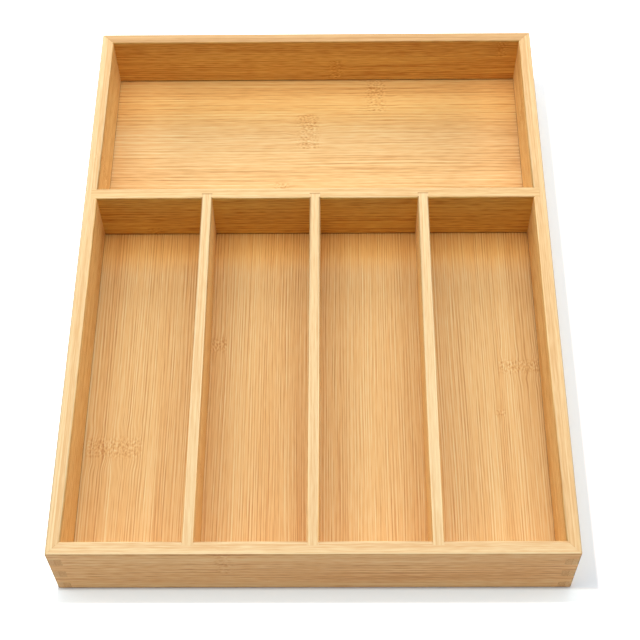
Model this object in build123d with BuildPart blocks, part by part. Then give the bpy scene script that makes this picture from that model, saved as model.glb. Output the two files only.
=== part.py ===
from build123d import *
import os

# Cutlery tray of laminated bamboo: four finger-jointed walls, a cross rail, three dividers
# and two floor panels, glued together with every rim flush.
# Millimetres, +Z up. The origin is the middle of the footprint at the base, and the front
# wall stands on the -Y side.

# Outer size
outer_width = 330.0
outer_length = 432.0
outer_height = 54.0

# Board thicknesses
wall_thickness = 9.0
rail_thickness = 9.0
divider_thickness = 7.5
floor_thickness = 5.0

# Layout: length of the front compartments, width of the two outer ones, and the height of
# the floor panels' underside above the base
front_slot_length = 264.0
outer_slot_width = 75.0
floor_recess = 5.0

# Corner joint: a mitre at the rim over equal fingers, which the side walls and the front or
# rear wall take in turn, the side walls first
mitre_height = 7.5
finger_count = 5

# Housings and grooves, measured into the board that carries them
rail_housing_depth = 4.5
divider_housing_in_rail = 4.5
divider_housing_in_front = 3.0
floor_groove_depth = 3.0

# Room that a floor panel keeps at each edge to swell
floor_swell_gap = 0.3

# Sanded round along the exposed edges
eased_edge = 1.0

# How far cutting profiles run past the wood
overrun = 5.0

# Places that follow from the sizes above
half_width = outer_width / 2
half_length = outer_length / 2
inner_half_width = half_width - wall_thickness
front_inner_y = wall_thickness - half_length
rear_inner_y = half_length - wall_thickness
rail_front_y = front_inner_y + front_slot_length
rail_rear_y = rail_front_y + rail_thickness
floor_top = floor_recess + floor_thickness
finger_height = (outer_height - mitre_height) / finger_count
divider_offset = inner_half_width - outer_slot_width - divider_thickness / 2
divider_centers = {
    "left_divider": -divider_offset,
    "center_divider": 0.0,
    "right_divider": divider_offset,
}

# Fingers are numbered downwards from the mitre
side_wall_fingers = range(0, finger_count, 2)
end_wall_fingers = range(1, finger_count, 2)


def corner_signs(wall_axis, side):
    """Signs of x and y at the two corners that a wall runs between."""
    if wall_axis == Axis.X:
        return [(-1, side), (1, side)]
    return [(side, -1), (side, 1)]


def board(x_span, y_span, z_span, mode=Mode.ADD):
    """Adds a rectangular block between the given limits to the part being built."""
    with BuildSketch(Plane.XY.offset(z_span[0])) as face:
        with Locations(((x_span[0] + x_span[1]) / 2, (y_span[0] + y_span[1]) / 2)):
            Rectangle(x_span[1] - x_span[0], y_span[1] - y_span[0])
    extrude(face.sketch, amount=z_span[1] - z_span[0], mode=mode)


def trench(x_span, y_span, z_span):
    """Cuts a rectangular housing or groove from the part being built."""
    board(x_span, y_span, z_span, mode=Mode.SUBTRACT)


def ease_wall(blank, wall_axis, side):
    """Rounds the rim, the outer face's upright ends and the outer edges at the base."""
    across = Axis.Y if wall_axis == Axis.X else Axis.X
    outer = -1 if side > 0 else 0
    rim = blank.edges().group_by(Axis.Z)[-1]
    uprights = blank.edges().filter_by(Axis.Z).group_by(across)[outer]
    base_outer = blank.edges().group_by(Axis.Z)[0].filter_by(wall_axis).group_by(across)[outer]
    base_ends = blank.edges().group_by(Axis.Z)[0].filter_by(across)
    fillet(rim + uprights + base_outer + base_ends, eased_edge)


def cut_mitre(wall_axis, sign_x, sign_y):
    """Cuts the top of a corner along the diagonal from the inner to the outer corner."""
    inner = (inner_half_width - overrun, rear_inner_y - overrun)
    outer = (half_width + overrun, half_length + overrun)
    if wall_axis == Axis.X:
        third = (outer[0], inner[1])
    else:
        third = (inner[0], outer[1])
    corners = [(sign_x * x, sign_y * y) for x, y in (inner, outer, third)]
    with BuildSketch(Plane.XY.offset(outer_height - mitre_height)) as waste:
        with BuildLine():
            Polyline(*corners, close=True)
        make_face()
    extrude(waste.sketch, amount=mitre_height + overrun, mode=Mode.SUBTRACT)


def cut_sockets(fingers, sign_x, sign_y):
    """Cuts the sockets at a corner that take the other wall's fingers."""
    x_span = sorted((sign_x * inner_half_width, sign_x * (half_width + overrun)))
    y_span = sorted((sign_y * rear_inner_y, sign_y * (half_length + overrun)))
    for finger in fingers:
        socket_top = outer_height - mitre_height - finger * finger_height
        trench(x_span, y_span, (socket_top - finger_height, socket_top))


def cut_corners(wall_axis, side):
    """Cuts the mitre and the sockets at both ends of a wall."""
    fingers = side_wall_fingers if wall_axis == Axis.X else end_wall_fingers
    for sign_x, sign_y in corner_signs(wall_axis, side):
        cut_mitre(wall_axis, sign_x, sign_y)
        cut_sockets(fingers, sign_x, sign_y)


def cut_floor_groove(y_span):
    """Cuts the groove that takes a floor panel, in whatever board the panel reaches."""
    groove_half_width = inner_half_width + floor_groove_depth
    trench((-groove_half_width, groove_half_width), y_span, (floor_recess, floor_top))


# Each panel reaches into the boards around it by the depth of the groove
front_groove_span = (front_inner_y - floor_groove_depth, rail_front_y + floor_groove_depth)
rear_groove_span = (rail_rear_y - floor_groove_depth, rear_inner_y + floor_groove_depth)
upright_span = (0.0, outer_height)
divider_height_span = (floor_top, outer_height)

# Front wall, with a shallow housing for each divider
with BuildPart() as front_wall:
    board((-half_width, half_width), (-half_length, front_inner_y), upright_span)
    ease_wall(front_wall, Axis.X, -1)
    cut_corners(Axis.X, -1)
    cut_floor_groove(front_groove_span)
    for center in divider_centers.values():
        trench(
            (center - divider_thickness / 2, center + divider_thickness / 2),
            (front_inner_y - divider_housing_in_front, front_inner_y),
            divider_height_span,
        )

# Rear wall, with no housings
with BuildPart() as rear_wall:
    board((-half_width, half_width), (rear_inner_y, half_length), upright_span)
    ease_wall(rear_wall, Axis.X, 1)
    cut_corners(Axis.X, 1)
    cut_floor_groove(rear_groove_span)

# Left wall, housed for the cross rail from base to rim
with BuildPart() as left_wall:
    board((-half_width, -inner_half_width), (-half_length, half_length), upright_span)
    ease_wall(left_wall, Axis.Y, -1)
    cut_corners(Axis.Y, -1)
    cut_floor_groove(front_groove_span)
    cut_floor_groove(rear_groove_span)
    trench(
        (-inner_half_width - rail_housing_depth, -inner_half_width),
        (rail_front_y, rail_rear_y),
        upright_span,
    )

# Right wall, the left wall's mirror image
with BuildPart() as right_wall:
    board((inner_half_width, half_width), (-half_length, half_length), upright_span)
    ease_wall(right_wall, Axis.Y, 1)
    cut_corners(Axis.Y, 1)
    cut_floor_groove(front_groove_span)
    cut_floor_groove(rear_groove_span)
    trench(
        (inner_half_width, inner_half_width + rail_housing_depth),
        (rail_front_y, rail_rear_y),
        upright_span,
    )

# Cross rail: housed in both side walls, grooved on both faces for the floor panels and
# housed on its front face for the dividers
with BuildPart() as cross_rail:
    rail_reach = inner_half_width + rail_housing_depth
    board((-rail_reach, rail_reach), (rail_front_y, rail_rear_y), upright_span)
    fillet(cross_rail.edges().filter_by(Axis.X).group_by(Axis.Z)[-1], eased_edge)
    cut_floor_groove(front_groove_span)
    cut_floor_groove(rear_groove_span)
    for center in divider_centers.values():
        trench(
            (center - divider_thickness / 2, center + divider_thickness / 2),
            (rail_front_y, rail_front_y + divider_housing_in_rail),
            divider_height_span,
        )

# Dividers: they stand on the front floor panel, with their ends in the front wall and rail
dividers = {}
for name, center in divider_centers.items():
    with BuildPart() as divider:
        board(
            (center - divider_thickness / 2, center + divider_thickness / 2),
            (front_inner_y - divider_housing_in_front, rail_front_y + divider_housing_in_rail),
            divider_height_span,
        )
        fillet(divider.edges().filter_by(Axis.Y).group_by(Axis.Z)[-1], eased_edge)
    dividers[name] = divider

# Floor panels: each fills its groove's height and stops short of the groove's bottom
floor_half_width = inner_half_width + floor_groove_depth - floor_swell_gap
with BuildPart() as front_floor:
    board(
        (-floor_half_width, floor_half_width),
        (front_groove_span[0] + floor_swell_gap, front_groove_span[1] - floor_swell_gap),
        (floor_recess, floor_top),
    )

with BuildPart() as rear_floor:
    board(
        (-floor_half_width, floor_half_width),
        (rear_groove_span[0] + floor_swell_gap, rear_groove_span[1] - floor_swell_gap),
        (floor_recess, floor_top),
    )

# One file for each piece
pieces = {
    "front_wall": front_wall,
    "rear_wall": rear_wall,
    "left_wall": left_wall,
    "right_wall": right_wall,
    "cross_rail": cross_rail,
    **dividers,
    "front_floor": front_floor,
    "rear_floor": rear_floor,
}
os.makedirs("parts", exist_ok=True)
for name, piece in pieces.items():
    piece.part.label = name
    export_step(piece.part, f"parts/{name}.step")
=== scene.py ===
"""Cutlery tray of laminated bamboo: its ten boards, their finish, the studio and the camera.

Lengths are in metres unless a name says otherwise. X runs from left to right, the front wall
stands on the -Y side and the tray rests on Z = 0.
"""

import logging
import math
from dataclasses import dataclass, replace
from enum import Enum

import bpy
from mathutils import Matrix, Vector


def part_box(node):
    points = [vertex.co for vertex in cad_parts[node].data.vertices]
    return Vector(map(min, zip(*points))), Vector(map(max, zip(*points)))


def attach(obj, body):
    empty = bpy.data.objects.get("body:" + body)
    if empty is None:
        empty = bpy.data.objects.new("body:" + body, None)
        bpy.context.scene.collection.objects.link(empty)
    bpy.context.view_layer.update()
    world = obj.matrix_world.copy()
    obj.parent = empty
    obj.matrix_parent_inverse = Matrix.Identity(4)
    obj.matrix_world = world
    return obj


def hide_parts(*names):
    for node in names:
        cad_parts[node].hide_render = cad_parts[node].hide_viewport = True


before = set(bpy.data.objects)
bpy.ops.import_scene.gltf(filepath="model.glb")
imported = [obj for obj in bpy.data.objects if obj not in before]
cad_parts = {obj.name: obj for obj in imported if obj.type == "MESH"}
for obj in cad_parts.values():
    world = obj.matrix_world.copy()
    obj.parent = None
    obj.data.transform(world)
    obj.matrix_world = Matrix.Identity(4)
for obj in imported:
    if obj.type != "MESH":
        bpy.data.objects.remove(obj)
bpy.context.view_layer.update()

MM = 0.001
MM_PER_METRE = 1000.0
ROOT_BODY = "root"
EASED = "eased"
BEVEL_WEIGHT = "bevel_weight_edge"
OVERRUN = 5.0 * MM
BLACK = (0.0, 0.0, 0.0, 1.0)
WHITE = (1.0, 1.0, 1.0, 1.0)

log = logging.getLogger("cutlery_tray")

Rgb = tuple[int, int, int]
Pair = tuple[float, float]


# Node trees


class Value:
    """What a node gives: a number, vector, colour, shape or shader.

    Arithmetic with it adds the node that works the result out.
    """

    def __init__(self, tree: "Tree", socket: bpy.types.NodeSocket) -> None:
        """Keeps the tree that is being built and the node's output."""
        self.tree = tree
        self.socket = socket

    def __add__(self, other: "Source") -> "Value":
        """Their sum."""
        return self.tree.math("ADD", self, other)

    def __sub__(self, other: "Source") -> "Value":
        """Their difference."""
        return self.tree.math("SUBTRACT", self, other)

    def __rsub__(self, other: "Source") -> "Value":
        """Their difference, where a plain number comes first."""
        return self.tree.math("SUBTRACT", other, self)

    def __mul__(self, other: "Source") -> "Value":
        """Their product."""
        return self.tree.math("MULTIPLY", self, other)

    def __truediv__(self, other: "Source") -> "Value":
        """Their quotient."""
        return self.tree.math("DIVIDE", self, other)

    def __neg__(self) -> "Value":
        """The number with the other sign."""
        return self * -1.0

    def __abs__(self) -> "Value":
        """The number without its sign."""
        return self.tree.math("ABSOLUTE", self)

    def __gt__(self, other: "Source") -> "Value":
        """One where it is greater than the other, and else nothing."""
        return self.tree.math("GREATER_THAN", self, other)

    def __lt__(self, other: "Source") -> "Value":
        """One where it is less than the other, and else nothing."""
        return self.tree.math("LESS_THAN", self, other)


Source = Value | float | int | bool | str | tuple[float, ...]


def find_socket(sockets: bpy.types.bpy_prop_collection, key: str | int) -> bpy.types.NodeSocket:
    """Finds a node's input or output by its identifier, name or number."""
    return next((socket for socket in sockets if socket.identifier == key), None) or sockets[key]


class Tree:
    """A node tree being built, with short calls that add nodes and join them."""

    def __init__(self, tree: bpy.types.NodeTree) -> None:
        """Keeps the Blender tree that the calls add to."""
        self.tree = tree

    def node(
        self, kind: str, inputs: dict[str | int, Source] | None = None, **settings: object
    ) -> bpy.types.Node:
        """Adds a node, sets its properties and feeds its inputs.

        Args:
            kind: Blender's type name of the node.
            inputs: What each input takes, by the input's identifier, name or number.
            settings: Properties of the node.

        Returns:
            The new node.
        """
        node = self.tree.nodes.new(kind)
        for name, value in settings.items():
            setattr(node, name, value)
        for key, source in (inputs or {}).items():
            socket = find_socket(node.inputs, key)
            if isinstance(source, Value):
                self.tree.links.new(source.socket, socket)
            else:
                socket.default_value = source
        return node

    def add(
        self,
        kind: str,
        inputs: dict[str | int, Source] | None = None,
        output: str | int = 0,
        **settings: object,
    ) -> Value:
        """Adds a node as node() does and returns its first output, or the one that is named."""
        node = self.node(kind, inputs, **settings)
        return Value(self, find_socket(node.outputs, output))

    def math(self, operation: str, *values: Source) -> Value:
        """Adds one step of arithmetic and returns its result."""
        return self.add("ShaderNodeMath", dict(enumerate(values)), operation=operation)

    def largest(self, *values: Value) -> Value:
        """The largest of some numbers.

        Args:
            values: The numbers, at least one.

        Returns:
            The largest one.
        """
        most, *others = values
        for other in others:
            most = self.math("MAXIMUM", most, other)
        return most

    def vector(self, x: Source, y: Source, z: Source) -> Value:
        """Joins three numbers into a vector."""
        return self.add("ShaderNodeCombineXYZ", {"X": x, "Y": y, "Z": z})

    def split(self, vector: Value) -> tuple[Value, ...]:
        """Takes a vector apart into its X, Y and Z."""
        node = self.node("ShaderNodeSeparateXYZ", {0: vector})
        return tuple(Value(self, output) for output in node.outputs)

    def ramp(self, value: Value, stops: dict[float, tuple[float, ...]]) -> Value:
        """Turns a number into a colour.

        Args:
            value: The number, from 0 to 1.
            stops: The colour at each of two or more numbers.

        Returns:
            The colour, which changes evenly between the stops.
        """
        node = self.node("ShaderNodeValToRGB", {0: value})
        elements = node.color_ramp.elements
        elements[0].position, elements[1].position = min(stops), max(stops)
        for position in sorted(stops)[1:-1]:
            elements.new(position)
        for element, position in zip(elements, sorted(stops)):
            element.color = stops[position]
        return Value(self, node.outputs[0])


def empty_nodes(owner: bpy.types.Material | bpy.types.World) -> bpy.types.NodeTree:
    """Gives a material or world an empty node tree.

    Args:
        owner: The material or world.

    Returns:
        Its tree.
    """
    owner.use_nodes = True
    owner.node_tree.nodes.clear()
    return owner.node_tree


class GeometryTree(Tree):
    """A Geometry Nodes tree whose named inputs are the sizes of what it makes."""

    NAME = ""
    SOCKET_TYPES = {
        float: "NodeSocketFloat",
        int: "NodeSocketInt",
        bool: "NodeSocketBool",
        tuple: "NodeSocketVector",
        bpy.types.Material: "NodeSocketMaterial",
    }

    def __init__(self, sizes: dict[str, object]) -> None:
        """Opens a tree with a geometry input, one input for each size and a geometry output.

        Args:
            sizes: A value for each named input, which gives the input its type.
        """
        super().__init__(bpy.data.node_groups.new(self.NAME, "GeometryNodeTree"))
        interface = self.tree.interface
        interface.new_socket("Geometry", in_out="INPUT", socket_type="NodeSocketGeometry")
        for label, value in sizes.items():
            kind = self.SOCKET_TYPES[type(value)]
            interface.new_socket(label, in_out="INPUT", socket_type=kind)
        interface.new_socket("Geometry", in_out="OUTPUT", socket_type="NodeSocketGeometry")
        self.entry = self.node("NodeGroupInput")

    @classmethod
    def run_on(cls, piece: bpy.types.Object, sizes: dict[str, object]) -> None:
        """Gives a piece a modifier with this tree, which is built when it is first needed.

        Args:
            piece: The piece.
            sizes: Value of each input, by its name. It is set by the input's identifier.
        """
        group = bpy.data.node_groups.get(cls.NAME) or cls(sizes).build()
        modifier = piece.modifiers.new(cls.NAME, "NODES")
        modifier.node_group = group
        for item in group.interface.items_tree:
            if item.item_type == "SOCKET" and item.in_out == "INPUT" and item.name in sizes:
                modifier[item.identifier] = sizes[item.name]

    def size(self, label: str) -> Value:
        """The value of a named input."""
        return Value(self, self.entry.outputs[label])

    def sizes(self, *labels: str) -> tuple[Value, ...]:
        """The values of several named inputs."""
        return tuple(self.size(label) for label in labels)

    def cube(self, *size: Source) -> Value:
        """A rectangular block round the origin, with its extents along X, Y and Z."""
        return self.add("GeometryNodeMeshCube", {"Size": self.vector(*size)})

    def block(self, size: tuple[Source, ...], middle: tuple[Source, ...]) -> Value:
        """A rectangular block of some size round some middle."""
        return self.place(self.cube(*size), self.vector(*middle))

    def place(self, shape: Value, middle: Value, turn: Source = 0.0) -> Value:
        """Turns a shape about the vertical by an angle and then moves it."""
        inputs = {"Geometry": shape, "Translation": middle, "Rotation": self.vector(0.0, 0.0, turn)}
        return self.add("GeometryNodeTransform", inputs)

    def row(self, shape: Value, count: Source, first: Value, step: Value) -> Value:
        """Repeats a shape along a straight row.

        Args:
            shape: What is repeated.
            count: How many there are.
            first: Place of the first one.
            step: From one to the next.

        Returns:
            The row as real geometry.
        """
        inputs = {"Count": count, "Start Location": first, "Offset": step}
        line = self.add("GeometryNodeMeshLine", inputs, mode="OFFSET", count_mode="TOTAL")
        placed = self.add("GeometryNodeInstanceOnPoints", {"Points": line, "Instance": shape})
        return self.add("GeometryNodeRealizeInstances", {"Geometry": placed})

    def cut(self, wood: Value, cutter: Value) -> Value:
        """Takes a cutter's volume out of the wood and returns what is left."""
        inputs = {"Mesh 1": wood, "Mesh 2": cutter}
        return self.add("GeometryNodeMeshBoolean", inputs, operation="DIFFERENCE", solver="EXACT")

    def join(self, *shapes: Value) -> Value:
        """Unites shapes that touch or overlap.

        Args:
            shapes: The shapes.

        Returns:
            The one shape that they make.
        """
        union = self.node("GeometryNodeMeshBoolean", operation="UNION", solver="EXACT")
        for shape in shapes:
            self.tree.links.new(shape.socket, union.inputs["Mesh 2"])
        return Value(self, union.outputs["Mesh"])

    def store(self, shape: Value, name: str, value: Value, domain: str) -> Value:
        """Keeps a number as a named attribute of a shape.

        Args:
            shape: The shape.
            name: Name of the attribute.
            value: The number.
            domain: What it is kept on, EDGE or FACE.

        Returns:
            The shape with the attribute.
        """
        inputs = {"Geometry": shape, "Name": name, "Value": value}
        kind = "GeometryNodeStoreNamedAttribute"
        return self.add(kind, inputs, data_type="FLOAT", domain=domain)

    def finish(self, shape: Value) -> bpy.types.NodeTree:
        """Ends the tree with real geometry in the material of the Material input.

        Args:
            shape: What the tree makes.

        Returns:
            The finished tree.
        """
        real = self.add("GeometryNodeRealizeInstances", {"Geometry": shape})
        inputs = {"Geometry": real, "Material": self.size("Material")}
        self.node("NodeGroupOutput", {0: self.add("GeometryNodeSetMaterial", inputs)})
        return self.tree


# Joinery


class Turn(Enum):
    """Which way a board's housed face looks, as the angle that turns it there from +Y."""

    TO_REAR = 0.0
    TO_LEFT = math.pi / 2
    TO_FRONT = math.pi
    TO_RIGHT = -math.pi / 2


class BlankTree(GeometryTree):
    """An uncut board, with a bevel weight on each edge that gets eased."""

    NAME = "Board blank"
    TOLERANCE = 0.01 * MM

    def build(self) -> bpy.types.NodeTree:
        """Builds the tree.

        Returns:
            The finished tree.
        """
        length, thickness, height, foot = self.sizes("Length", "Thickness", "Height", "Foot")
        mid_height = height * 0.5 + foot
        board = self.block((length, thickness, height), (0.0, thickness * -0.5, mid_height))

        x, y, z = self.split(self.add("GeometryNodeInputPosition"))
        above_middle, from_middle = z - mid_height, abs(x)
        at_top = above_middle > height * 0.5 - self.TOLERANCE
        at_base = above_middle < height * -0.5 + self.TOLERANCE
        at_end = from_middle > length * 0.5 - self.TOLERANCE
        on_outer_face = y < self.TOLERANCE - thickness
        rim_side = at_top * (from_middle < self.TOLERANCE)
        outside = self.largest(at_top, on_outer_face, at_base * at_end)
        weight = self.largest(rim_side, outside * self.size("Ends Eased"))
        return self.finish(self.store(board, BEVEL_WEIGHT, weight, "EDGE"))


class JointsTree(GeometryTree):
    """The cuts of a board's joints, and then its turn into its place.

    POST_SIDE is how many board thicknesses the post that cuts the mitre measures.
    """

    NAME = "Board joints"
    ALONG_AN_AXIS = 0.999
    POST_SIDE = 4.0

    def build(self) -> bpy.types.NodeTree:
        """Builds the tree.

        Returns:
            The finished tree.
        """
        wood = self.mark_eased_faces(self.size("Geometry"))
        wood = self.either(self.size("Has Tenons"), wood, self.square_tenons(wood))
        wood = self.either(self.size("Has Corners"), wood, self.cut_corner_joints(wood))
        wood = self.either(self.size("Housing Count") > 0.5, wood, self.cut_housings(wood))
        for label, face in (("Housed", 0.0), ("Other", -self.size("Thickness"))):
            grooved = self.cut_groove(wood, face)
            wood = self.either(self.size(f"Groove On {label} Face"), wood, grooved)
        kind = "GeometryNodeInputNamedAttribute"
        eased = self.add(kind, {"Name": EASED}, "Attribute", data_type="FLOAT")
        inputs = {"Geometry": wood, "Selection": eased > 0.5}
        smooth = self.add("GeometryNodeSetShadeSmooth", inputs, domain="FACE")
        return self.finish(self.place(smooth, self.size("Place"), self.size("Turn")))

    def either(self, choice: Value, plain: Value, cut: Value) -> Value:
        """The cut wood where the choice is true, and else the plain wood."""
        inputs = {"Switch": choice, "False": plain, "True": cut}
        return self.add("GeometryNodeSwitch", inputs, input_type="GEOMETRY")

    def mark_eased_faces(self, wood: Value) -> Value:
        """Marks the faces of the rounded edges, which look along no axis, for the finish."""
        facing = (abs(part) for part in self.split(self.add("GeometryNodeInputNormal")))
        return self.store(wood, EASED, self.largest(*facing) < self.ALONG_AN_AXIS, "FACE")

    def square_tenons(self, wood: Value) -> Value:
        """Fills the rounded upper edges again at both ends, where they sit in other boards.

        Args:
            wood: The rounded blank.

        Returns:
            The filled board.
        """
        length, thickness, top = self.sizes("Length", "Thickness", "Top")
        height = thickness * 0.5
        fillings = []
        for label, side in (("Left Tenon", -0.5), ("Right Tenon", 0.5)):
            tenon = self.size(label)
            middle = ((length - tenon) * side, thickness * -0.5, height * -0.5 + top)
            fillings.append(self.block((tenon, thickness, height), middle))
        return self.join(wood, *fillings)

    def cut_corner_joints(self, wood: Value) -> Value:
        """Cuts the mitre at the rim and the sockets below it, at both ends of a wall.

        Args:
            wood: The wall's blank.

        Returns:
            The cut wall.
        """
        length, thickness, glue = self.sizes("Length", "Thickness", "Glue Line")
        finger, mitre = self.sizes("Finger Height", "Mitre Height")
        half_thickness = thickness * 0.5
        corner_middle = length * 0.5 - half_thickness
        mitre_foot = self.size("Top") - mitre

        # Sockets: a column of blocks at each end, one finger apart
        reach, height = thickness + OVERRUN + glue, glue * 2.0 + finger
        socket = self.cube(reach, thickness + 2 * OVERRUN, height)
        first_middle = mitre_foot - (self.size("First Socket") + 0.5) * finger
        column = self.row(
            socket,
            self.size("Socket Count"),
            self.vector(0.0, -half_thickness, first_middle),
            self.vector(0.0, 0.0, finger * -2.0),
        )
        wood = self.cut(wood, self.both_ends(column, corner_middle + (OVERRUN - glue) * 0.5))

        # Mitre: a square post turned by 45 degrees, with one face along the diagonal
        post_side, post_height = thickness * self.POST_SIDE, mitre + OVERRUN
        post = self.cube(post_side, post_side, post_height)
        from_diagonal = post_side * (math.cos(math.pi / 4) / 2) - glue
        middle = self.vector(0.0, from_diagonal - half_thickness, post_height * 0.5 + mitre_foot)
        turned = self.place(post, middle, math.pi / 4)
        return self.cut(wood, self.both_ends(turned, corner_middle + from_diagonal))

    def both_ends(self, shape: Value, reach: Value) -> Value:
        """Repeats a shape at the same distance left and right of the board's middle."""
        first, step = self.vector(-reach, 0.0, 0.0), self.vector(reach * 2.0, 0.0, 0.0)
        return self.row(shape, 2, first, step)

    def cut_housings(self, wood: Value) -> Value:
        """Cuts the row of upright slots in the housed face.

        Args:
            wood: The board so far.

        Returns:
            The housed board.
        """
        glue, top, foot = self.sizes("Glue Line", "Top", "Housing Foot")
        count, spacing = self.sizes("Housing Count", "Housing Spacing")
        height = top - foot + OVERRUN
        depth = self.size("Housing Depth") + glue + OVERRUN
        width = glue * 2.0 + self.size("Housing Width")
        middle = (0.0, depth * -0.5 + OVERRUN, height * 0.5 + foot)
        slot = self.block((width, depth, height), middle)
        half_row = (count * 0.5 - 0.5) * spacing
        first = self.vector(self.size("Housing Middle") - half_row, 0.0, 0.0)
        return self.cut(wood, self.row(slot, count, first, self.vector(spacing, 0.0, 0.0)))

    def cut_groove(self, wood: Value, face: Source) -> Value:
        """Cuts the floor panel's groove in one face.

        Args:
            wood: The board so far.
            face: Y of the face that is grooved.

        Returns:
            The grooved board.
        """
        length, depth = self.sizes("Groove Length", "Groove Depth")
        height, foot = self.sizes("Groove Height", "Groove Foot")
        groove = self.block((length, depth * 2.0, height), (0.0, face, height * 0.5 + foot))
        return self.cut(wood, groove)


class PanelTree(GeometryTree):
    """One lath swept along its length and repeated across the panel."""

    NAME = "Lath panel"

    def build(self) -> bpy.types.NodeTree:
        """Builds the tree.

        Returns:
            The finished tree.
        """
        width, thickness, count = self.sizes("Width", "Thickness", "Lath Count")
        lath_width = width / count
        outline = {"Width": lath_width - self.size("Glue Line"), "Height": thickness}
        section = self.add("GeometryNodeCurvePrimitiveQuadrilateral", outline, mode="RECTANGLE")
        arris = {"Curve": section, "Radius": self.size("Arris"), "Count": 1}
        chamfered = self.add("GeometryNodeFilletCurve", arris, mode="POLY")
        half_length = self.size("Lath Length") * 0.5
        ends = {
            "Start": self.vector(-half_length, 0.0, 0.0),
            "End": self.vector(half_length, 0.0, 0.0),
        }
        path = self.add("GeometryNodeCurvePrimitiveLine", ends)
        sweep = {"Curve": path, "Profile Curve": chamfered, "Fill Caps": True}
        lath = self.add("GeometryNodeCurveToMesh", sweep)
        flat = self.add("GeometryNodeSetShadeSmooth", {"Geometry": lath, "Shade Smooth": False})
        first = self.vector(0.0, (width - lath_width) * -0.5, 0.0)
        panel = self.row(flat, count, first, self.vector(0.0, lath_width, 0.0))
        return self.finish(self.place(panel, self.size("Place"), self.size("Turn")))


@dataclass(frozen=True)
class CornerJoint:
    """Finger joint under a mitred rim, at both ends of a wall.

    The fingers are counted down from the mitre. A wall has its sockets at every second one.
    """

    first_socket: int = 0
    mitre_height: float = 7.5 * MM
    finger_count: int = 5

    def sizes(self, wall_height: float) -> dict[str, object]:
        """Inputs of the tree that cuts it, for a wall of the given height."""
        return {
            "Mitre Height": self.mitre_height,
            "Finger Height": (wall_height - self.mitre_height) / self.finger_count,
            "First Socket": self.first_socket,
            "Socket Count": len(range(self.first_socket, self.finger_count, 2)),
        }


@dataclass(frozen=True)
class Housings:
    """Upright slots in a board's housed face that take the ends of other boards."""

    count: int = 0
    spacing: float = 0.0
    middle: float = 0.0
    width: float = 0.0
    depth: float = 0.0
    foot: float = 0.0


@dataclass(frozen=True)
class Groove:
    """Groove near a board's lower edge that takes a floor panel."""

    length: float = 0.0
    depth: float = 0.0
    foot: float = 0.0
    height: float = 0.0
    on_housed_face: bool = False
    on_other_face: bool = False


def labelled(start: str, joint: Housings | Groove) -> dict[str, object]:
    """A joint's sizes by the names of the tree's inputs, such as Housing Width."""
    sizes = vars(joint).items()
    return {f"{start} {name}".replace("_", " ").title(): value for name, value in sizes}


def stand(name: str, data: bpy.types.ID) -> bpy.types.Object:
    """Adds a new object to the scene.

    Args:
        name: Name of the object.
        data: Its mesh, lamp or camera.

    Returns:
        The object.
    """
    thing = bpy.data.objects.new(name, data)
    bpy.context.scene.collection.objects.link(thing)
    return thing


def seat(piece: bpy.types.Object, node: str, slot: str) -> None:
    """Makes a piece's mesh plain and puts the piece in the place of a CAD node.

    Args:
        piece: The piece, with the modifiers that make it.
        node: The CAD node that it stands for.
        slot: The record's material slot; it is not used.
    """
    bpy.context.view_layer.update()
    depsgraph = bpy.context.evaluated_depsgraph_get()
    mesh = bpy.data.meshes.new_from_object(
        piece.evaluated_get(depsgraph), preserve_all_data_layers=True, depsgraph=depsgraph
    )
    piece.modifiers.clear()
    piece.data = mesh
    mesh.name = piece.name
    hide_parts(node)
    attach(piece, ROOT_BODY)
    log.info("%s: %d faces", piece.name, len(mesh.polygons))


@dataclass(frozen=True)
class Board:
    """A board on edge, described lying along X with its housed face at Y = 0, then turned.

    Its foot is the height of its lower edge. With ends_eased its outer face's edges and the
    ends' lower edges are rounded as the rim is. Its tenons are the lengths at the left and the
    right end that keep square edges, because they sit in another board.
    """

    node: str
    length: float
    thickness: float
    height: float
    turn: Turn
    place: tuple[float, float]
    foot: float = 0.0
    ends_eased: bool = False
    corner: CornerJoint | None = None
    tenons: Pair = (0.0, 0.0)
    housings: Housings = Housings()
    groove: Groove = Groove()
    eased_edge: float = 1.0 * MM
    round_steps: int = 4
    glue_line: float = 0.03 * MM

    def build(self, finish: "BambooFinish", slot: str) -> None:
        """Makes the board in the place of its CAD node.

        Args:
            finish: The board's finish.
            slot: Name of the record's material slot, handed on to seat().
        """
        name = f"{self.node}_board"
        piece = stand(name, bpy.data.meshes.new(name))
        material = {"Material": finish.material(self.node)}
        BlankTree.run_on(piece, self.blank_sizes() | material)
        rounding = piece.modifiers.new("Eased edges", "BEVEL")
        rounding.limit_method = "WEIGHT"
        rounding.width = self.eased_edge
        rounding.segments = self.round_steps
        JointsTree.run_on(piece, self.joint_sizes() | material)
        seat(piece, self.node, slot)

    def blank_sizes(self) -> dict[str, object]:
        """Inputs of the tree that makes the uncut board."""
        return {
            "Length": self.length,
            "Thickness": self.thickness,
            "Height": self.height,
            "Foot": self.foot,
            "Ends Eased": self.ends_eased,
        }

    def joint_sizes(self) -> dict[str, object]:
        """Inputs of the tree that cuts the joints."""
        return {
            "Length": self.length,
            "Thickness": self.thickness,
            "Top": self.foot + self.height,
            "Glue Line": self.glue_line,
            "Has Tenons": any(self.tenons),
            "Left Tenon": self.tenons[0],
            "Right Tenon": self.tenons[1],
            "Has Corners": self.corner is not None,
            **(self.corner or CornerJoint()).sizes(self.height),
            **labelled("Housing", self.housings),
            **labelled("Groove", self.groove),
            "Turn": self.turn.value,
            "Place": (*self.place, 0.0),
        }


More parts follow.
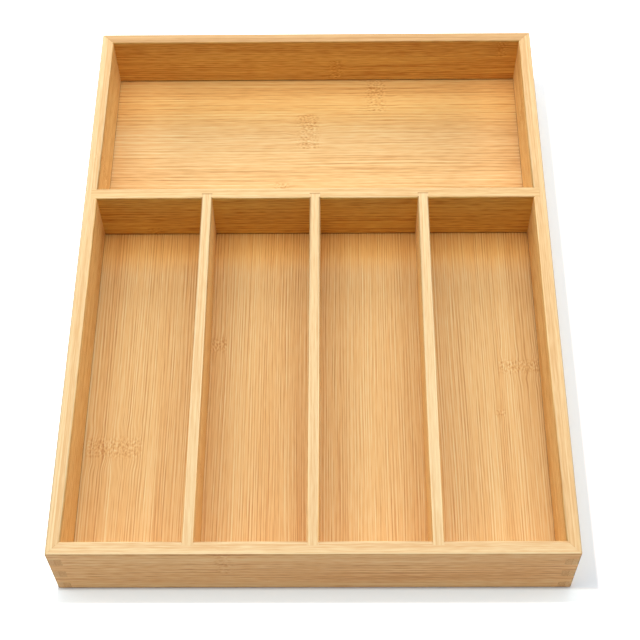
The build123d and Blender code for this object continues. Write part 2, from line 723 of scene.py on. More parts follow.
@dataclass(frozen=True)
class FloorPanel:
    """A thin panel of bamboo laths glued edge to edge.

    The laths lie along X and follow each other along Y until the panel is turned.
    """

    node: str
    lath_length: float
    width: float
    thickness: float
    lath_count: int
    turn: Turn
    place: tuple[float, float, float]
    arris: float = 0.08 * MM
    glue_line: float = 0.02 * MM

    def strip_width(self) -> float:
        """Width of one lath in millimetres."""
        return self.width / self.lath_count * MM_PER_METRE

    def build(self, finish: "BambooFinish", slot: str) -> None:
        """Makes the panel in the place of its CAD node.

        Args:
            finish: The panel's finish.
            slot: Name of the record's material slot, handed on to seat().
        """
        name = f"{self.node}_panel"
        piece = stand(name, bpy.data.meshes.new(name))
        sizes = {
            "Lath Length": self.lath_length,
            "Width": self.width,
            "Thickness": self.thickness,
            "Lath Count": self.lath_count,
            "Arris": self.arris,
            "Glue Line": self.glue_line,
            "Turn": self.turn.value,
            "Place": self.place,
            "Material": finish.material(self.node),
        }
        PanelTree.run_on(piece, sizes)
        seat(piece, self.node, slot)


# Finishes: lengths here are in millimetres, and colours are as seen on screen, 0 to 255


class Grain(Enum):
    """Order of X, Y and Z that puts a board's axes as along, across and through the grain."""

    ALONG_X_ON_EDGE = (0, 2, 1)
    ALONG_Y_ON_EDGE = (1, 2, 0)
    ALONG_X_FLAT = (0, 1, 2)
    ALONG_Y_FLAT = (1, 0, 2)


@dataclass(frozen=True)
class Knuckle:
    """A culm's joint showing in one strip, by its place along and across the grain."""

    along: float
    across: float
    strip_width: float = 26.0
    length: float = 8.0


@dataclass(frozen=True)
class Marks:
    """Size of a noise pattern's marks along and across the grain, and its finer layers."""

    along: float
    across: float
    detail: float = 0.0


@dataclass(frozen=True)
class Tones:
    """Three colours of one surface."""

    dark: Rgb
    middle: Rgb
    light: Rgb


@dataclass(frozen=True)
class Recess:
    """The shaded foot of a board over the floor's groove."""

    foot: float
    top: float
    half_length: float


@dataclass(frozen=True)
class PaintedShade:
    """A panel's side where shade is painted, as a colour that deepens towards it.

    The side is counted along the grain (0) or across it (1).
    """

    side: int
    end: float
    reach: Pair
    tint: tuple[float, float, float]


def colour(seen: Rgb) -> tuple[float, ...]:
    """The linear colour, as an input takes it, of a colour as it is seen on screen."""
    shares = (channel / 255 for channel in seen)
    return (*(s / 12.92 if s <= 0.04045 else ((s + 0.055) / 1.055) ** 2.4 for s in shares), 1.0)


# Plain tones of a board's side towards the rear; the face tones on its side towards the front are
# deepened as painted shade
PLAIN_BACK = Tones((206, 146, 74), (240, 194, 118), (251, 221, 152))


@dataclass(frozen=True)
class BambooFinish:
    """Laminated bamboo, sanded and clear-lacquered.

    Its ply_seam is the glue line between a wall's two plies, and its sign says which side is
    the outer one. Its housed_end is where the board goes into the rail.
    """

    grain: Grain
    knuckles: tuple[Knuckle, ...]
    seed: float = 0.0
    face: Tones = Tones((202, 143, 72), (238, 194, 123), (250, 220, 156))
    # Where back is given, the face tones on the side towards the front are painted shade and back
    # holds the plain tones
    back: Tones | None = None
    # Rim tones on the top faces: partly the board's laminated edge, partly painted light on what
    # faces up
    rim: Tones = Tones((243, 198, 138), (255, 228, 177), (255, 231, 181))
    end_grain: Rgb = (218, 148, 92)
    # Painted shade on the lower and outer sides of the eased edges
    handled: Rgb = (156, 112, 70)
    shade_tone: Rgb = (112, 66, 26)
    seam_tone: Rgb = (184, 120, 62)
    end_share: float = 0.5
    rim_share: float = 0.85
    # Share of painted shade on the outer eased edges
    outer_edge: float = 0.0
    strip_width: float = 33.0
    strip_start: float = -11.0
    ply_seam: float | None = None
    housed_end: float | None = None
    recess: Recess | None = None
    # Painted shade deepening a panel's colour towards one side
    shelter: PaintedShade | None = None
    contrast: float = 1.0
    band_contrast: float = 0.35
    strip_contrast: float = 0.1
    line_spacings: Pair = (1.7, 2.25)
    line_strength: float = 0.08
    roughness: float = 0.52
    roughness_change: float = -0.16
    fibre_height: float = 0.05
    specular: float = 0.3
    coat: float = 0.08
    coat_roughness: float = 0.32

    def material(self, piece: str) -> bpy.types.Material:
        """Builds the finish as the material of one piece.

        Args:
            piece: What the material is named after.

        Returns:
            The material.
        """
        material = bpy.data.materials.new(f"bamboo_{piece}")
        BambooTree(empty_nodes(material), self).build()
        return material


class BambooTree(Tree):
    """The nodes of a bamboo finish, which take the place on the board from Object coordinates."""

    SWAY = Marks(250.0, 40.0)
    SWAY_WIDTH = 4.0
    BOW = Marks(14.0, 7.0)
    BOW_WIDTH = 3.0
    BOW_REACH = 2.8
    DASHES = Marks(12.0, 0.75, 1.0)
    THREADS = Marks(110.0, 1.0)
    THREAD_SHARE = 0.8
    BANDS = Marks(420.0, 10.0)
    TICKS = Marks(2.2, 1.1, 1.0)
    TICK_DEPTH = 1.4
    KNUCKLE_GROUND = 0.05
    KNUCKLE_CORE = 0.3
    STRIP_CORE = 0.85

    # The fine lines: these marks' widths are counted in the lines' spacing
    DRIFT = Marks(110.0, 3.0)
    DRIFT_TURN = 9.0
    SWELL = Marks(30.0, 1.5)
    SWELL_HEIGHT = 2.0
    LINE_HEIGHT = 0.7

    # The plies and the glue line between them, by the distance outward from it
    PLY_SPAN = (-0.2, 0.2)
    PLY_CHANGE = 0.12
    GLUE_SPAN = (0.1, 0.45)
    GLUE_CHANGE = -0.3

    # Where each colour comes in, by how far the surface faces its way, and how much of it
    TONE_STOPS = (0.1, 0.5, 0.9)
    RIM_TONES = (0.0, 0.95)
    BACK_FACING = (0.5, 0.8)
    END_FACING = (0.6, 0.95)
    RIM_FACING = (0.5, 0.85)
    # Painted highlight on the eased edges' tops, painted shade on their lower and outer sides
    TOP_HIGHLIGHT_FACING = (0.65, 0.9)
    TOP_HIGHLIGHT_SHARE = 0.75
    LOWER_SHADE_FACING = (-0.45, -0.1)
    LOWER_SHADE_SHARE = 0.55
    OUTER_SHADE_FACING = (0.2, 0.5)

    # The shade in the floor's groove, and the seam before a housed end
    GROOVE_SHARE = 0.8
    GROOVE_BLUR = 0.15
    GROOVE_END = 0.5
    SEAM_SHARE = 0.6
    SEAM_SPAN = (-1.1, -0.7)

    def __init__(self, tree: bpy.types.NodeTree, finish: BambooFinish) -> None:
        """Finds the place on the board and the way that its surface faces.

        Args:
            tree: The material's empty tree.
            finish: The finish.
        """
        super().__init__(tree)
        self.finish = finish
        place = {0: self.add("ShaderNodeTexCoord", output="Object"), "Scale": MM_PER_METRE}
        axes = self.split(self.add("ShaderNodeVectorMath", place, operation="SCALE"))
        normal = self.split(self.add("ShaderNodeTexCoord", output="Normal"))
        self.along, self.across, self.through = (axes[number] for number in finish.grain.value)
        self.facing_along, _, self.facing_through = (normal[n] for n in finish.grain.value)
        self.facing_up = normal[2]

    def build(self) -> None:
        """Builds the lacquered bamboo."""
        finish = self.finish
        tone, relief = self.tones()
        shade = self.edges(self.shade(tone))
        if finish.recess is not None:
            shade = self.blend(self.in_groove(finish.recess), shade, colour(finish.shade_tone))
        # Painted shade: a deeper colour towards the rail or the rear wall
        if finish.shelter is not None:
            shade = self.deepen_painted_shade(finish.shelter, shade)
        if finish.housed_end is not None:
            span = tuple(finish.housed_end + edge for edge in self.SEAM_SPAN)
            seam = self.rise(self.along, span, self.SEAM_SHARE)
            shade = self.blend(seam, shade, colour(finish.seam_tone))
        bump = {"Height": relief, "Strength": 1.0, "Distance": finish.fibre_height * MM}
        lacquer = {
            "Base Color": shade,
            "Roughness": relief * finish.roughness_change + finish.roughness,
            "Normal": self.add("ShaderNodeBump", bump),
            "Specular IOR Level": finish.specular,
            "Coat Weight": finish.coat,
            "Coat Roughness": finish.coat_roughness,
        }
        surface = self.add("ShaderNodeBsdfPrincipled", lacquer)
        self.node("ShaderNodeOutputMaterial", {"Surface": surface})

    def rise(self, value: Value, span: Pair, height: float = 1.0, base: float = 0.0) -> Value:
        """A straight rise over a span, and level outside it.

        Args:
            value: What it goes by.
            span: Where it starts and where it ends.
            height: What it rises to.
            base: What it rises from.

        Returns:
            The rise.
        """
        inputs = {"Value": value, "To Min": base, "To Max": height}
        inputs |= {"From Min": span[0], "From Max": span[1]}
        return self.add("ShaderNodeMapRange", inputs)

    def fade(self, distance: Value, start: float, end: float) -> Value:
        """A smooth fall from one to nothing.

        Args:
            distance: What it goes by.
            start: Where it leaves one.
            end: Where it comes to nothing.

        Returns:
            The fall.
        """
        inputs = {"Value": distance, "To Min": 1.0, "To Max": 0.0}
        inputs |= {"From Min": start, "From Max": end}
        return self.add("ShaderNodeMapRange", inputs, interpolation_type="SMOOTHSTEP")

    def blend(self, share: Value, first: Source, second: Source) -> Value:
        """Mixes two colours by a share of the second one."""
        inputs = {"Factor_Float": share, "A_Color": first, "B_Color": second}
        return self.add("ShaderNodeMix", inputs, "Result_Color", data_type="RGBA")

    def noise(self, place: tuple[Value, ...], marks: Marks, widening: float = 1.0) -> Value:
        """Soft noise, drawn out along the grain, from about -0.3 to 0.3.

        Args:
            place: Along, across and through the grain.
            marks: Size of the noise's marks.
            widening: How many times as wide the marks are.

        Returns:
            The noise.
        """
        along, across, through = place
        per_width = 1 / (marks.across * widening)
        shifted = along * (1 / marks.along) + self.finish.seed
        vector = self.vector(shifted, across * per_width, through * per_width)
        inputs = {"Vector": vector, "Scale": 1.0, "Detail": marks.detail}
        return self.add("ShaderNodeTexNoise", inputs) - 0.5

    def knuckles(self, reach: float = 1.0) -> Value:
        """Where the culm joints show.

        Args:
            reach: How many times a joint's length the mask reaches along the grain.

        Returns:
            One at a joint's middle and nothing away from the joints.
        """
        masks = []
        for knuckle in self.finish.knuckles:
            length, half_width = knuckle.length * reach, knuckle.strip_width / 2
            off_along = abs(self.along - knuckle.along)
            off_across = abs(self.across - knuckle.across)
            near = self.fade(off_along, length * self.KNUCKLE_CORE, length)
            in_strip = self.fade(off_across, half_width * self.STRIP_CORE, half_width)
            masks.append(near * in_strip)
        return self.largest(*masks)

    def tones(self) -> tuple[Value, Value]:
        """How dark each fibre is, and how far it stands up.

        Returns:
            The tone, from 0 for dark fibre to 1 for pale ground, and the relief.
        """
        finish = self.finish
        place = (self.along, self.across, self.through)

        # The fibres bend a little everywhere, and more round the knuckles
        sway = self.noise(place, self.SWAY) * self.SWAY_WIDTH
        bow = self.noise(place, self.BOW) * self.BOW_WIDTH
        bent = self.across + (bow * self.knuckles(self.BOW_REACH) + sway)
        fibres = (self.along, bent, self.through)

        number = self.math("FLOOR", (self.across - finish.strip_start) / finish.strip_width)
        drawn = {"W": number + finish.seed}
        strip = self.add("ShaderNodeTexWhiteNoise", drawn, "Value", noise_dimensions="1D") - 0.5
        dashes = self.noise(fibres, self.DASHES)
        threads = self.noise(fibres, self.THREADS) * self.THREAD_SHARE
        tone = self.fibre_lines(fibres) * finish.line_strength + 0.5
        tone = tone + dashes * finish.contrast + threads * finish.contrast
        tone = tone + self.noise(fibres, self.BANDS) * finish.band_contrast
        tone = tone + strip * finish.strip_contrast
        if finish.ply_seam is not None:
            tone = tone + self.plies()
        ticks = self.noise(place, self.TICKS) * self.TICK_DEPTH + self.KNUCKLE_GROUND
        dip = ticks * self.knuckles()
        return tone - dip, dashes - dip

    def fibre_lines(self, fibres: tuple[Value, ...]) -> Value:
        """Fine lines side by side, evenly spaced but for a slow drift, that come and go.

        Args:
            fibres: The place that the fibres' pattern is read at.

        Returns:
            The lines, from about -1 to 1.
        """
        across = fibres[1] + fibres[2]
        lines: Source = 0.0
        for spacing in self.finish.line_spacings:
            drift = self.noise(fibres, self.DRIFT, spacing) * self.DRIFT_TURN
            swell = self.noise(fibres, self.SWELL, spacing) * self.SWELL_HEIGHT
            wave = self.math("SINE", across * (math.tau / spacing) + drift)
            lines = wave * (swell + self.LINE_HEIGHT) + lines
        return lines

    def outward(self, direction: Value) -> Value:
        """Turns a measure through the board so that it grows towards a wall's outer ply."""
        return direction * math.copysign(1.0, self.finish.ply_seam)

    def plies(self) -> Value:
        """How much paler the outer of a board's two plies is, with the dark glue line between.

        Returns:
            The change of tone.
        """
        beyond = self.outward(self.through) - abs(self.finish.ply_seam)
        outer = self.rise(beyond, self.PLY_SPAN, self.PLY_CHANGE, -self.PLY_CHANGE)
        return self.fade(abs(beyond), *self.GLUE_SPAN) * self.GLUE_CHANGE + outer

    def shade(self, tone: Value) -> Value:
        """The colour of the surface without its edges.

        Args:
            tone: From 0 for dark fibre to 1 for pale ground.

        Returns:
            The colour.
        """
        finish = self.finish
        side = self.fibre_ramp(tone, finish.face)
        # The side towards the rear takes the plain back tones; the deeper face tones are painted
        # shade
        if finish.back is not None:
            rearward = self.rise(self.facing_through, self.BACK_FACING)
            side = self.blend(rearward, side, self.fibre_ramp(tone, finish.back))
        end_on = self.rise(abs(self.facing_along), self.END_FACING, finish.end_share)
        shade = self.blend(end_on, side, colour(finish.end_grain))
        # Top faces take the paler rim tones: partly the plies' edge, partly painted light on what
        # faces up
        rim_tone = self.rise(tone, self.RIM_TONES)
        rim = self.blend(rim_tone, colour(finish.rim.dark), colour(finish.rim.middle))
        on_rim = self.rise(self.facing_up, self.RIM_FACING, finish.rim_share)
        return self.blend(on_rim, shade, rim)

    def fibre_ramp(self, tone: Value, tones: Tones) -> Value:
        """A ramp from the darkest fibres' colour to the lightest ones'."""
        colours = map(colour, (tones.dark, tones.middle, tones.light))
        return self.ramp(tone, dict(zip(self.TONE_STOPS, colours)))

    def edges(self, shade: Value) -> Value:
        """The eased edges' colours: a painted highlight on top, and painted shade below and
        outside.

        Args:
            shade: The surface's colour without its edges.

        Returns:
            The colour.
        """
        finish = self.finish
        eased = self.add("ShaderNodeAttribute", output="Fac", attribute_name=EASED)
        # Painted highlight in the rim's light tone on the rounds' tops; painted shade below and
        # outside
        top = self.rise(self.facing_up, self.TOP_HIGHLIGHT_FACING, self.TOP_HIGHLIGHT_SHARE)
        below = self.rise(-self.facing_up, self.LOWER_SHADE_FACING, self.LOWER_SHADE_SHARE)
        painted_edges = [(top, finish.rim.light), (below, finish.handled)]
        if finish.outer_edge:
            facing_out = self.outward(self.facing_through)
            outside = self.rise(facing_out, self.OUTER_SHADE_FACING, finish.outer_edge)
            painted_edges.append((outside, finish.handled))
        for share, tone in painted_edges:
            shade = self.blend(eased * share, shade, colour(tone))
        return shade

    def in_groove(self, recess: Recess) -> Value:
        """Where the board's inner side lies in the floor's groove or right above it, shaded.

        Args:
            recess: The board's shaded foot.

        Returns:
            The share of shade.
        """
        half_height = (recess.top - recess.foot) / 2
        off_middle = abs(self.across - (recess.foot + recess.top) / 2)
        blur, end = self.GROOVE_BLUR, self.GROOVE_END
        inside = self.fade(off_middle, half_height - blur, half_height + blur)
        inside *= self.fade(abs(self.along), recess.half_length - end, recess.half_length)
        if self.finish.ply_seam is not None:
            seam = abs(self.finish.ply_seam)
            inside *= self.fade(self.outward(self.through), seam - end, seam)
        return inside * self.GROOVE_SHARE

    def deepen_painted_shade(self, shelter: PaintedShade, shade: Value) -> Value:
        """Paints shade by deepening the colour towards a side.

        Args:
            shelter: The side where shade is painted.
            shade: The colour before.

        Returns:
            The colour.
        """
        product = {0: shade, 1: shelter.tint}
        deeper = self.add("ShaderNodeVectorMath", product, operation="MULTIPLY")
        place = (self.along, self.across)[shelter.side]
        return self.blend(self.fade(shelter.end - place, *shelter.reach), shade, deeper)


# Sub-assemblies


@dataclass(frozen=True)
class Tray:
    """Sizes that the sub-assemblies share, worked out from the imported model's nodes."""

    outer_width: float
    outer_length: float
    height: float
    wall: float
    inner_half_width: float
    inner_half_length: float
    floor_foot: float
    floor_top: float
    groove_depth: float
    swell_gap: float = 0.3 * MM
    end_groove_play: float = 0.7 * MM
    side_groove_play: float = 0.15 * MM
    # How far above the floor panel the shade on a board's foot is painted
    groove_shade_height: float = 1.2 * MM
    eased_edge: float = 1.0 * MM

    @classmethod
    def from_frame(cls) -> "Tray":
        """Reads the sizes off the CAD nodes' boxes.

        Returns:
            The sizes.
        """
        front_low, front_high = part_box("front_wall")
        left_low, left_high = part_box("left_wall")
        floor_low, floor_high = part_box("front_floor")
        inner_half_width = -left_high.x
        return cls(
            outer_width=front_high.x - front_low.x,
            outer_length=left_high.y - left_low.y,
            height=front_high.z - front_low.z,
            wall=front_high.y - front_low.y,
            inner_half_width=inner_half_width,
            inner_half_length=-front_high.y,
            floor_foot=floor_low.z,
            floor_top=floor_high.z,
            groove_depth=floor_high.x - inner_half_width + cls.swell_gap,
        )

    def recess(self, half_length: float) -> Recess:
        """The shaded foot of a board with half the inner length given in metres."""
        sizes = (self.floor_foot, self.floor_top + self.groove_shade_height, half_length)
        return Recess(*(size * MM_PER_METRE for size in sizes))

    def groove(self, inner_half: float, play: float, other_face: bool = False) -> Groove:
        """The floor groove of a board.

        Args:
            inner_half: Half the clear length between the board's neighbours.
            play: How much higher the groove is than the panel is thick.
            other_face: Whether the face away from the housings is grooved too.

        Returns:
            The groove.
        """
        return Groove(
            length=2 * inner_half + 2 * self.groove_depth,
            depth=self.groove_depth,
            foot=self.floor_foot,
            height=self.floor_top - self.floor_foot + play,
            on_housed_face=True,
            on_other_face=other_face,
        )

    def divider_housings(self, depth: float) -> Housings:
        """The slots, of some depth, that take the ends of the three dividers.

        Args:
            depth: How far the dividers go in.

        Returns:
            The slots.
        """
        low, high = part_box("center_divider")
        side_low, side_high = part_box("right_divider")
        spacing = (side_low.x + side_high.x) / 2
        return Housings(3, spacing=spacing, width=high.x - low.x, depth=depth, foot=low.z)


@dataclass
class WallFrame:
    """The four finger-jointed walls, with their housings for the rail and the dividers."""

    tray: Tray
    slot: str = "wall_bamboo"

    def build(self) -> None:
        """Builds and dresses the walls."""
        for board, finish in zip(self.boards(), self.finishes()):
            board.build(finish, self.slot)

    def boards(self) -> tuple[Board, ...]:
        """The front, rear, left and right wall.

        Right under the mitre the end walls have a socket and the side walls a finger.

        Returns:
            The boards.
        """
        tray = self.tray
        rail_low, rail_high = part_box("cross_rail")
        rail_middle = (rail_low.y + rail_high.y) / 2
        in_front_wall = -tray.inner_half_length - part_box("center_divider")[0].y
        front = Board(
            node="front_wall",
            length=tray.outer_width,
            thickness=tray.wall,
            height=tray.height,
            turn=Turn.TO_REAR,
            place=(0.0, -tray.inner_half_length),
            ends_eased=True,
            corner=CornerJoint(first_socket=0),
            housings=tray.divider_housings(in_front_wall),
            groove=tray.groove(tray.inner_half_width, tray.end_groove_play),
        )
        rear = replace(
            front,
            node="rear_wall",
            turn=Turn.TO_FRONT,
            place=(0.0, tray.inner_half_length),
            housings=Housings(),
        )
        left = replace(
            front,
            node="left_wall",
            length=tray.outer_length,
            turn=Turn.TO_RIGHT,
            place=(-tray.inner_half_width, 0.0),
            corner=CornerJoint(first_socket=1),
            housings=Housings(
                count=1,
                middle=-rail_middle,
                width=rail_high.y - rail_low.y,
                depth=rail_high.x - tray.inner_half_width,
                foot=-OVERRUN,
            ),
            groove=tray.groove(tray.inner_half_length, tray.side_groove_play),
        )
        right = replace(
            left,
            node="right_wall",
            turn=Turn.TO_LEFT,
            place=(tray.inner_half_width, 0.0),
            housings=replace(left.housings, middle=rail_middle),
        )
        return front, rear, left, right

    def finishes(self) -> tuple[BambooFinish, ...]:
        """The finishes of the front, rear, left and right wall.

        Returns:
            The finishes.
        """
        tray = self.tray
        end_seam = (tray.inner_half_length + tray.wall / 2) * MM_PER_METRE
        side_seam = (tray.inner_half_width + tray.wall / 2) * MM_PER_METRE
        end_wall = BambooFinish(
            Grain.ALONG_X_ON_EDGE,
            (Knuckle(-56.0, 38.5, 33.0),),
            back=PLAIN_BACK,
            recess=tray.recess(tray.inner_half_width),
        )
        side_wall = BambooFinish(
            Grain.ALONG_Y_ON_EDGE,
            (Knuckle(-120.0, 6.0), Knuckle(96.0, 38.5, 33.0)),
            face=Tones((207, 150, 77), (244, 204, 132), (255, 231, 168)),
            recess=tray.recess(tray.inner_half_length),
            outer_edge=0.45,
        )
        return (
            replace(
                end_wall,
                # The front face's deeper tones are painted shade
                face=Tones((208, 136, 70), (242, 184, 115), (254, 210, 147)),
                ply_seam=-end_seam,
                contrast=1.4,
                band_contrast=0.8,
                seed=3.0,
            ),
            replace(
                end_wall,
                knuckles=(Knuckle(15.5, 23.0, 22.0), Knuckle(144.0, 45.0, 18.0, 6.0)),
                # The inner face's deeper tones are painted shade
                face=Tones((195, 132, 55), (229, 180, 94), (241, 205, 119)),
                rim=Tones((211, 160, 102), (234, 189, 136), (244, 205, 150)),
                ply_seam=end_seam,
                outer_edge=0.45,
                seed=11.0,
            ),
            replace(side_wall, ply_seam=-side_seam, seed=19.0),
            replace(
                side_wall,
                knuckles=(Knuckle(-30.0, 6.0), Knuckle(150.0, 38.5, 33.0)),
                rim=Tones((239, 190, 128), (253, 218, 165), (255, 222, 168)),
                ply_seam=side_seam,
                seed=27.0,
            ),
        )


@dataclass
class Partitions:
    """The cross rail and the three dividers that it takes.

    From one divider to the next, its knuckle lies knuckle_step millimetres further back.
    """

    tray: Tray
    slot: str = "divider_bamboo"
    foot_gap: float = 0.1 * MM
    first_knuckle: float = -150.0
    knuckle_step: float = 95.0
    first_seed: float = 43.0
    seed_step: float = 8.0

    def build(self) -> None:
        """Builds and dresses the rail and the dividers."""
        rail_finish = BambooFinish(
            Grain.ALONG_X_ON_EDGE,
            (Knuckle(-118.0, 6.0),),
            # The front face's deeper tones are painted shade
            face=Tones((194, 134, 53), (228, 181, 91), (240, 205, 115)),
            back=PLAIN_BACK,
            rim=Tones((240, 192, 129), (253, 221, 166), (255, 225, 170)),
            recess=self.tray.recess(self.tray.inner_half_width),
            contrast=1.4,
            seed=35.0,
        )
        self.rail().build(rail_finish, self.slot)
        housed_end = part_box("center_divider")[1].y * MM_PER_METRE
        for number, node in enumerate(("left_divider", "center_divider", "right_divider")):
            finish = BambooFinish(
                Grain.ALONG_Y_ON_EDGE,
                (Knuckle(self.first_knuckle + self.knuckle_step * number, 36.0),),
                housed_end=housed_end,
                seed=self.first_seed + self.seed_step * number,
            )
            self.divider(node).build(finish, self.slot)

    def rail(self) -> Board:
        """The rail, housed for the dividers and grooved on both faces for the floor panels.

        Returns:
            The board.
        """
        tray = self.tray
        low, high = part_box("cross_rail")
        tenon = high.x - tray.inner_half_width - tray.eased_edge
        return Board(
            node="cross_rail",
            length=high.x - low.x,
            thickness=high.y - low.y,
            height=high.z - low.z,
            turn=Turn.TO_FRONT,
            place=(0.0, low.y),
            tenons=(tenon, tenon),
            housings=tray.divider_housings(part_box("center_divider")[1].y - low.y),
            groove=tray.groove(tray.inner_half_width, tray.end_groove_play, other_face=True),
        )

    def divider(self, node: str) -> Board:
        """A divider, which stands on the front floor panel.

        Args:
            node: The CAD node that it stands for.

        Returns:
            The board.
        """
        low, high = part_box(node)
        in_front_wall = -self.tray.inner_half_length - low.y
        in_rail = high.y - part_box("cross_rail")[0].y
        return Board(
            node=node,
            length=high.y - low.y,
            thickness=high.x - low.x,
            height=high.z - low.z - self.foot_gap,
            foot=low.z + self.foot_gap,
            turn=Turn.TO_LEFT,
            place=(low.x, (low.y + high.y) / 2),
            tenons=(in_front_wall - self.tray.eased_edge, in_rail - self.tray.eased_edge),
        )


@dataclass
class Floors:
    """The two floor panels of laths."""

    slot: str = "floor_bamboo"
    front_laths: int = 10
    rear_laths: int = 4

    def build(self) -> None:
        """Builds and dresses the panels."""
        front = self.panel("front_floor", Turn.TO_LEFT, self.front_laths)
        front.build(self.front_finish(front), self.slot)
        rear = self.panel("rear_floor", Turn.TO_REAR, self.rear_laths)
        rear.build(self.rear_finish(rear), self.slot)

    def panel(self, node: str, turn: Turn, laths: int) -> FloorPanel:
        """A panel that fills its node's box.

        Args:
            node: The CAD node that it stands for.
            turn: Where the laths' left edges look.
            laths: How many laths it has.

        Returns:
            The panel.
        """
        low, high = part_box(node)
        size = high - low
        length, width = (size.y, size.x) if turn is Turn.TO_LEFT else (size.x, size.y)
        middle = tuple((low + high) / 2)
        return FloorPanel(node, length, width, size.z, laths, turn, middle)

    def front_finish(self, panel: FloorPanel) -> BambooFinish:
        """The front panel's finish, with painted shade deepening its colour in front of the rail.

        Args:
            panel: The panel.

        Returns:
            The finish.
        """
        strip = panel.strip_width()
        rail_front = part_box("cross_rail")[0].y * MM_PER_METRE
        return BambooFinish(
            Grain.ALONG_Y_FLAT,
            (
                Knuckle(-120.0, -135.5, 40.0, 11.0),
                Knuckle(-57.0, 142.8, strip),
                Knuckle(-94.0, 127.0, 7.0, 4.0),
                Knuckle(-39.0, -68.0, 12.0),
            ),
            face=Tones((212, 152, 84), (243, 200, 132), (253, 228, 171)),
            rim_share=0.0,
            strip_width=strip,
            strip_start=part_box(panel.node)[0].x * MM_PER_METRE,
            # Painted shade in front of the rail
            shelter=PaintedShade(0, rail_front, (14.0, 40.0), (1.02, 0.89, 0.62)),
            contrast=0.4,
            line_spacings=(1.55, 2.05),
            line_strength=0.175,
            seed=67.0,
        )

    def rear_finish(self, panel: FloorPanel) -> BambooFinish:
        """The rear panel's finish, with painted shade deepening its colour in front of the rear
        wall.

        Args:
            panel: The panel.

        Returns:
            The finish.
        """
        strip = panel.strip_width()
        wall_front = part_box("rear_wall")[0].y * MM_PER_METRE
        return BambooFinish(
            Grain.ALONG_X_FLAT,
            (
                Knuckle(-6.0, 154.8, strip, 12.0),
                Knuckle(47.0, 191.4, strip, 11.0),
                Knuckle(-26.0, 88.0, strip),
            ),
            face=Tones((208, 147, 81), (245, 200, 134), (254, 227, 168)),
            rim_share=0.0,
            strip_width=strip,
            strip_start=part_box(panel.node)[0].y * MM_PER_METRE,
            strip_contrast=0.06,
            # Painted shade in front of the rear wall
            shelter=PaintedShade(1, wall_front, (25.0, 60.0), (1.04, 0.96, 0.75)),
            contrast=0.6,
            line_spacings=(2.6, 3.5),
            line_strength=0.10,
            seed=75.0,
        )


# Studio


@dataclass(frozen=True)
class Softbox:
    """A soft rectangular lamp that shines at one point."""

    name: str
    size: tuple[float, float]
    place: tuple[float, float, float]
    aim: tuple[float, float, float]
    power: float

    def build(self) -> None:
        """Puts the lamp up, out of the camera's sight."""
        lamp = bpy.data.lights.new(self.name, "AREA")
        lamp.shape = "RECTANGLE"
        lamp.size, lamp.size_y = self.size
        lamp.energy = self.power
        stood = stand(self.name, lamp)
        stood.location = self.place
        ahead = Vector(self.aim) - Vector(self.place)
        stood.rotation_euler = ahead.to_track_quat("-Z", "Y").to_euler()
        stood.visible_camera = False


@dataclass(frozen=True)
class FloorLift:
    """How much paler the camera sees the floor on one side of the tray than it is lit."""

    beside: tuple[float, float, float]
    reach: float
    even_span: Pair = (0.16, 0.78)

    def build(self, tree: Tree, beyond: Value) -> Value:
        """Nothing at the tray's foot, then an even lift beside it, and white past the reach."""
        stops = {0.0: BLACK, 1.0: WHITE} | {share: (*self.beside, 1.0) for share in self.even_span}
        return tree.ramp(beyond / self.reach, stops)


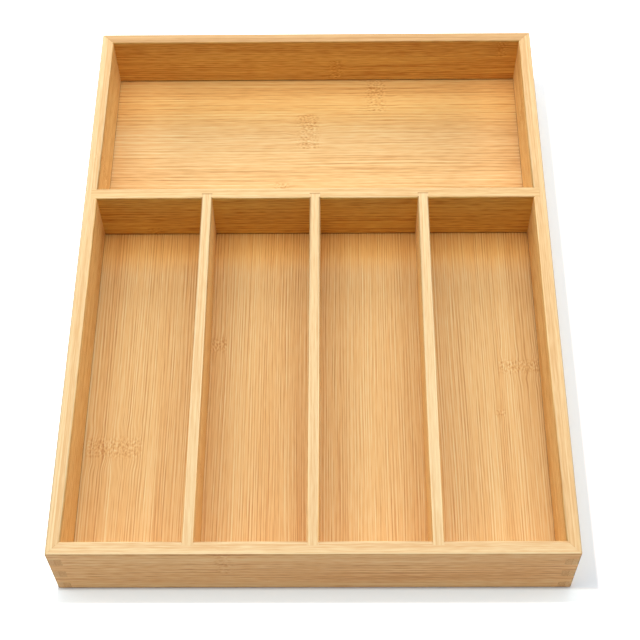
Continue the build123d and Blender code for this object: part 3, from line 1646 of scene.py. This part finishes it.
@dataclass
class Studio:
    """Pale floor, softboxes all round and the camera."""

    tray: Tray
    floor_half_size: float = 4.0
    floor_colour: tuple[float, ...] = (0.93, 0.93, 0.93, 1.0)
    lift_ahead: FloorLift = FloorLift((0.27, 0.33, 0.35), 12.5 * MM)
    lift_right: FloorLift = FloorLift((0.01, 0.07, 0.14), 22.0 * MM)
    lift_elsewhere: FloorLift = FloorLift((1.0, 1.0, 1.0), 10.0 * MM)
    glow: float = 0.01
    softboxes: tuple[Softbox, ...] = (
        Softbox("overhead", (2.4, 1.6), (-0.15, 0.25, 1.84), (-0.15, 0.25, 0.0), 29.5),
        Softbox("left", (1.6, 1.0), (-2.0, 0.0, 0.9), (0.0, 0.0, 0.03), 15.5),
        Softbox("right", (1.6, 1.0), (2.0, 0.0, 0.9), (0.0, 0.0, 0.03), 15.5),
        Softbox("back", (3.0, 1.2), (0.0, 2.1, 1.0), (0.0, 0.0, 0.03), 32.5),
        Softbox("front_strip", (3.0, 0.05), (0.0, -1.3, 0.025), (0.0, 0.0, 0.025), 3.3),
    )
    focal_length_px: float = 1430.28
    photo_width_px: float = 640.0
    sensor_width_mm: float = 36.0
    camera_place: tuple[float, float, float] = (0.01499, -0.56233, 0.87111)
    pitch: float = 57.715
    yaw: float = -1.225
    roll: float = -1.248

    def build(self) -> None:
        """Sets up the floor, the world, the lamps, the camera and the view transform."""
        self.lay_floor()
        self.light_surroundings()
        for softbox in self.softboxes:
            softbox.build()
        self.aim_camera()
        bpy.context.scene.view_settings.view_transform = "Standard"

    def lay_floor(self) -> None:
        """Lays the floor, which the camera sees paler than it is, and white away from the tray."""
        half = self.floor_half_size
        corners = [(-half, -half, 0), (half, -half, 0), (half, half, 0), (-half, half, 0)]
        mesh = bpy.data.meshes.new("studio_floor")
        mesh.from_pydata(corners, [], [(0, 1, 2, 3)])
        floor = stand("studio_floor", mesh)
        material = bpy.data.materials.new("studio_floor")
        tree = Tree(empty_nodes(material))
        matte = tree.add("ShaderNodeBsdfDiffuse", {"Color": self.floor_colour})
        seen = tree.add("ShaderNodeLightPath", output="Is Camera Ray")
        lift = tree.add("ShaderNodeEmission", {"Color": self.lift(tree), "Strength": seen})
        both = tree.add("ShaderNodeAddShader", {0: matte, 1: lift})
        tree.node("ShaderNodeOutputMaterial", {"Surface": both})
        mesh.materials.append(material)

    def lift(self, tree: Tree) -> Value:
        """How much paler the floor is seen, by its distance from each side of the tray.

        Args:
            tree: The floor's tree.

        Returns:
            The largest of the sides' lifts.
        """
        x, y, _ = tree.split(tree.add("ShaderNodeTexCoord", output="Object"))
        half_width, half_length = self.tray.outer_width / 2, self.tray.outer_length / 2
        elsewhere = tree.largest(-x - half_width, y - half_length)
        most = self.lift_ahead.build(tree, -y - half_length)
        for side, beyond in ((self.lift_right, x - half_width), (self.lift_elsewhere, elsewhere)):
            lifts = {0: most, 1: side.build(tree, beyond)}
            most = tree.add("ShaderNodeVectorMath", lifts, operation="MAXIMUM")
        return most

    def light_surroundings(self) -> None:
        """Fills in a little from all round, and shows white past the floor's edge."""
        world = bpy.data.worlds.new("studio")
        tree = Tree(empty_nodes(world))
        rays = ("Is Camera Ray", "Is Transmission Ray")
        shown = tree.largest(*(tree.add("ShaderNodeLightPath", output=ray) for ray in rays))
        strength = tree.math("MAXIMUM", shown, self.glow)
        light = tree.add("ShaderNodeBackground", {"Color": WHITE, "Strength": strength})
        tree.node("ShaderNodeOutputWorld", {"Surface": light})
        bpy.context.scene.world = world

    def aim_camera(self) -> None:
        """Places the camera at the photograph's viewing angle."""
        pitch, yaw, roll = (math.radians(angle) for angle in (self.pitch, self.yaw, self.roll))
        level = math.cos(pitch)
        ahead = Vector((math.sin(yaw) * level, math.cos(yaw) * level, -math.sin(pitch)))
        right = Vector((math.cos(yaw), -math.sin(yaw), 0.0))
        up = right.cross(ahead)
        axes = (
            right * math.cos(roll) + up * math.sin(roll),
            up * math.cos(roll) - right * math.sin(roll),
            -ahead,
        )
        view = bpy.data.cameras.new("camera")
        view.sensor_width = self.sensor_width_mm
        view.lens = self.focal_length_px / self.photo_width_px * self.sensor_width_mm
        camera = stand("camera", view)
        turn = Matrix(axes).transposed().to_4x4()
        camera.matrix_world = Matrix.Translation(Vector(self.camera_place)) @ turn
        bpy.context.scene.camera = camera


def main() -> None:
    """Builds the studio round the tray, then the tray's sub-assemblies in order."""
    logging.basicConfig(level=logging.INFO, format="%(name)s: %(message)s")
    tray = Tray.from_frame()
    Studio(tray).build()
    for assembly in (WallFrame(tray), Partitions(tray), Floors()):
        assembly.build()


if __name__ == "__main__":
    main()
